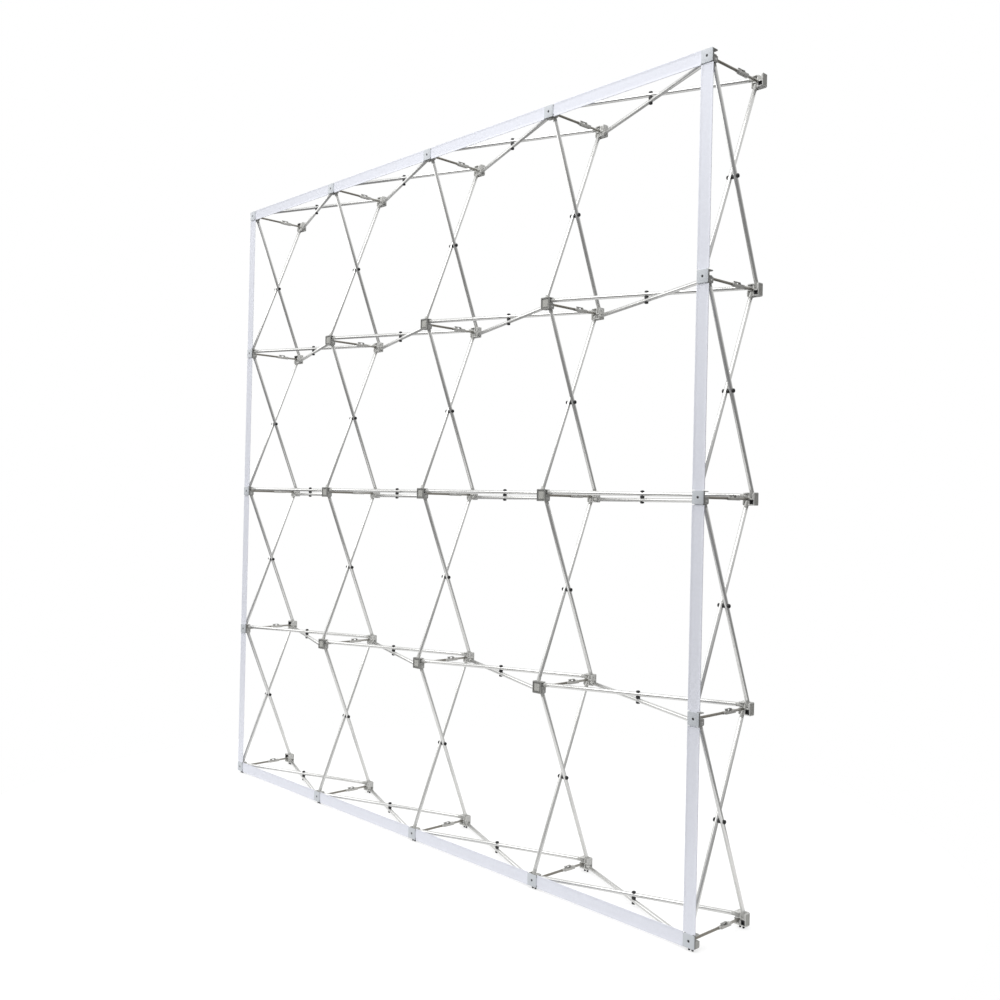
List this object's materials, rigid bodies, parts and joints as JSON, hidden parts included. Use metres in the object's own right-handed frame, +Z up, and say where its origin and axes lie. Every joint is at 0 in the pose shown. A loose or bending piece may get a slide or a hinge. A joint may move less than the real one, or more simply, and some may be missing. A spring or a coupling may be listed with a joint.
{
  "type": "pop up display backwall",
  "caption": "Straight folding display frame of crossing aluminium bars with moulded hubs, latched lock struts and white edge bands, standing open.",
  "frame": {"origin": "on the floor under the foot studs, at the middle of the width and of the depth", "axes": "+X along the width, +Z up, -Y towards the front face that carries the bands and the graphic"},
  "size_m": [2.99, 0.321, 2.9997],
  "materials": {
    "hub_plastic": "moulded grey plastic, fine matte texture",
    "rear_hub_plastic": "moulded pale plastic, fine matte texture",
    "cap_plastic": "moulded black plastic",
    "bar_aluminium": "satin drawn aluminium tube",
    "fitting_plastic": "moulded grey plastic",
    "rivet_steel": "plated steel",
    "pivot_rivet_black": "black rivet",
    "washer_black": "black moulded washers",
    "front_rod_dark": "dark grey anodised rod",
    "rear_rod_aluminium": "satin rod",
    "latch_plastic": "grey moulded plastic",
    "lever_plastic": "dark grey moulded plastic",
    "band_fabric": "white woven band, slightly lavender",
    "clamp_plastic": "pale grey moulded plastic",
    "screw_steel": "plated steel, cross recess",
    "pad_fabric": "grey loop pad",
    "foot_rubber": "black rubber"
  },
  "bodies": {
    "frame": {"front_hubs_row_1": "hub_plastic", "front_hubs_row_2": "hub_plastic", "front_hubs_row_3": "hub_plastic", "front_hubs_row_4": "hub_plastic", "front_hubs_row_5": "hub_plastic", "rear_hubs_row_1": "rear_hub_plastic", "rear_hubs_row_2": "rear_hub_plastic", "rear_hubs_row_3": "rear_hub_plastic", "rear_hubs_row_4": "rear_hub_plastic", "rear_hubs_row_5": "rear_hub_plastic", "horizontal_bars_row_1": "bar_aluminium", "horizontal_bars_row_2": "bar_aluminium", "horizontal_bars_row_3": "bar_aluminium", "horizontal_bars_row_4": "bar_aluminium", "horizontal_bars_row_5": "bar_aluminium", "vertical_bars_column_1": "bar_aluminium", "vertical_bars_column_2": "bar_aluminium", "vertical_bars_column_3": "bar_aluminium", "vertical_bars_column_4": "bar_aluminium", "vertical_bars_column_5": "bar_aluminium", "bar_end_fittings": "fitting_plastic", "hub_rivets": "rivet_steel", "pivot_rivets": "pivot_rivet_black", "pivot_washers": "washer_black", "front_lock_rods": "front_rod_dark", "rear_lock_rods": "rear_rod_aluminium", "latch_catches": "latch_plastic", "latch_housings": "latch_plastic", "latch_pins": "rivet_steel", "edge_bands": "band_fabric", "band_clamp_plates": "clamp_plastic", "clamp_screws": "screw_steel", "end_caps": "cap_plastic", "loop_pads": "pad_fabric", "rubber_feet": "foot_rubber"},
    "lever_row_1_column_1": {"latch_lever_row_1_column_1": "lever_plastic"},
    "lever_row_1_column_2": {"latch_lever_row_1_column_2": "lever_plastic"},
    "lever_row_1_column_3": {"latch_lever_row_1_column_3": "lever_plastic"},
    "lever_row_1_column_4": {"latch_lever_row_1_column_4": "lever_plastic"},
    "lever_row_1_column_5": {"latch_lever_row_1_column_5": "lever_plastic"},
    "lever_row_2_column_1": {"latch_lever_row_2_column_1": "lever_plastic"},
    "lever_row_2_column_2": {"latch_lever_row_2_column_2": "lever_plastic"},
    "lever_row_2_column_3": {"latch_lever_row_2_column_3": "lever_plastic"},
    "lever_row_2_column_4": {"latch_lever_row_2_column_4": "lever_plastic"},
    "lever_row_2_column_5": {"latch_lever_row_2_column_5": "lever_plastic"},
    "lever_row_3_column_1": {"latch_lever_row_3_column_1": "lever_plastic"},
    "lever_row_3_column_2": {"latch_lever_row_3_column_2": "lever_plastic"},
    "lever_row_3_column_3": {"latch_lever_row_3_column_3": "lever_plastic"},
    "lever_row_3_column_4": {"latch_lever_row_3_column_4": "lever_plastic"},
    "lever_row_3_column_5": {"latch_lever_row_3_column_5": "lever_plastic"},
    "lever_row_4_column_1": {"latch_lever_row_4_column_1": "lever_plastic"},
    "lever_row_4_column_2": {"latch_lever_row_4_column_2": "lever_plastic"},
    "lever_row_4_column_3": {"latch_lever_row_4_column_3": "lever_plastic"},
    "lever_row_4_column_4": {"latch_lever_row_4_column_4": "lever_plastic"},
    "lever_row_4_column_5": {"latch_lever_row_4_column_5": "lever_plastic"},
    "lever_row_5_column_1": {"latch_lever_row_5_column_1": "lever_plastic"},
    "lever_row_5_column_2": {"latch_lever_row_5_column_2": "lever_plastic"},
    "lever_row_5_column_3": {"latch_lever_row_5_column_3": "lever_plastic"},
    "lever_row_5_column_4": {"latch_lever_row_5_column_4": "lever_plastic"},
    "lever_row_5_column_5": {"latch_lever_row_5_column_5": "lever_plastic"}
  },
  "joints": [
    {"name": "latch_row_1_column_1", "type": "hinge", "parent": "frame", "child": "lever_row_1_column_1", "pos_m": [-1.47, 0.0585, 2.97725], "axis": [-1, 0, 0], "range_deg": [0, 65]},
    {"name": "latch_row_1_column_2", "type": "hinge", "parent": "frame", "child": "lever_row_1_column_2", "pos_m": [-0.735, 0.0585, 2.97725], "axis": [-1, 0, 0], "range_deg": [0, 65]},
    {"name": "latch_row_1_column_3", "type": "hinge", "parent": "frame", "child": "lever_row_1_column_3", "pos_m": [0, 0.0585, 2.97725], "axis": [-1, 0, 0], "range_deg": [0, 65]},
    {"name": "latch_row_1_column_4", "type": "hinge", "parent": "frame", "child": "lever_row_1_column_4", "pos_m": [0.735, 0.0585, 2.97725], "axis": [-1, 0, 0], "range_deg": [0, 65]},
    {"name": "latch_row_1_column_5", "type": "hinge", "parent": "frame", "child": "lever_row_1_column_5", "pos_m": [1.47, 0.0585, 2.97725], "axis": [-1, 0, 0], "range_deg": [0, 65]},
    {"name": "latch_row_2_column_1", "type": "hinge", "parent": "frame", "child": "lever_row_2_column_1", "pos_m": [-1.47, 0.0585, 2.24225], "axis": [-1, 0, 0], "range_deg": [0, 65]},
    {"name": "latch_row_2_column_2", "type": "hinge", "parent": "frame", "child": "lever_row_2_column_2", "pos_m": [-0.735, 0.0585, 2.24225], "axis": [-1, 0, 0], "range_deg": [0, 65]},
    {"name": "latch_row_2_column_3", "type": "hinge", "parent": "frame", "child": "lever_row_2_column_3", "pos_m": [0, 0.0585, 2.24225], "axis": [-1, 0, 0], "range_deg": [0, 65]},
    {"name": "latch_row_2_column_4", "type": "hinge", "parent": "frame", "child": "lever_row_2_column_4", "pos_m": [0.735, 0.0585, 2.24225], "axis": [-1, 0, 0], "range_deg": [0, 65]},
    {"name": "latch_row_2_column_5", "type": "hinge", "parent": "frame", "child": "lever_row_2_column_5", "pos_m": [1.47, 0.0585, 2.24225], "axis": [-1, 0, 0], "range_deg": [0, 65]},
    {"name": "latch_row_3_column_1", "type": "hinge", "parent": "frame", "child": "lever_row_3_column_1", "pos_m": [-1.47, 0.0585, 1.50725], "axis": [-1, 0, 0], "range_deg": [0, 65]},
    {"name": "latch_row_3_column_2", "type": "hinge", "parent": "frame", "child": "lever_row_3_column_2", "pos_m": [-0.735, 0.0585, 1.50725], "axis": [-1, 0, 0], "range_deg": [0, 65]},
    {"name": "latch_row_3_column_3", "type": "hinge", "parent": "frame", "child": "lever_row_3_column_3", "pos_m": [0, 0.0585, 1.50725], "axis": [-1, 0, 0], "range_deg": [0, 65]},
    {"name": "latch_row_3_column_4", "type": "hinge", "parent": "frame", "child": "lever_row_3_column_4", "pos_m": [0.735, 0.0585, 1.50725], "axis": [-1, 0, 0], "range_deg": [0, 65]},
    {"name": "latch_row_3_column_5", "type": "hinge", "parent": "frame", "child": "lever_row_3_column_5", "pos_m": [1.47, 0.0585, 1.50725], "axis": [-1, 0, 0], "range_deg": [0, 65]},
    {"name": "latch_row_4_column_1", "type": "hinge", "parent": "frame", "child": "lever_row_4_column_1", "pos_m": [-1.47, 0.0585, 0.77225], "axis": [-1, 0, 0], "range_deg": [0, 65]},
    {"name": "latch_row_4_column_2", "type": "hinge", "parent": "frame", "child": "lever_row_4_column_2", "pos_m": [-0.735, 0.0585, 0.77225], "axis": [-1, 0, 0], "range_deg": [0, 65]},
    {"name": "latch_row_4_column_3", "type": "hinge", "parent": "frame", "child": "lever_row_4_column_3", "pos_m": [0, 0.0585, 0.77225], "axis": [-1, 0, 0], "range_deg": [0, 65]},
    {"name": "latch_row_4_column_4", "type": "hinge", "parent": "frame", "child": "lever_row_4_column_4", "pos_m": [0.735, 0.0585, 0.77225], "axis": [-1, 0, 0], "range_deg": [0, 65]},
    {"name": "latch_row_4_column_5", "type": "hinge", "parent": "frame", "child": "lever_row_4_column_5", "pos_m": [1.47, 0.0585, 0.77225], "axis": [-1, 0, 0], "range_deg": [0, 65]},
    {"name": "latch_row_5_column_1", "type": "hinge", "parent": "frame", "child": "lever_row_5_column_1", "pos_m": [-1.47, 0.0585, 0.03725], "axis": [-1, 0, 0], "range_deg": [0, 65]},
    {"name": "latch_row_5_column_2", "type": "hinge", "parent": "frame", "child": "lever_row_5_column_2", "pos_m": [-0.735, 0.0585, 0.03725], "axis": [-1, 0, 0], "range_deg": [0, 65]},
    {"name": "latch_row_5_column_3", "type": "hinge", "parent": "frame", "child": "lever_row_5_column_3", "pos_m": [0, 0.0585, 0.03725], "axis": [-1, 0, 0], "range_deg": [0, 65]},
    {"name": "latch_row_5_column_4", "type": "hinge", "parent": "frame", "child": "lever_row_5_column_4", "pos_m": [0.735, 0.0585, 0.03725], "axis": [-1, 0, 0], "range_deg": [0, 65]},
    {"name": "latch_row_5_column_5", "type": "hinge", "parent": "frame", "child": "lever_row_5_column_5", "pos_m": [1.47, 0.0585, 0.03725], "axis": [-1, 0, 0], "range_deg": [0, 65]}
  ]
}
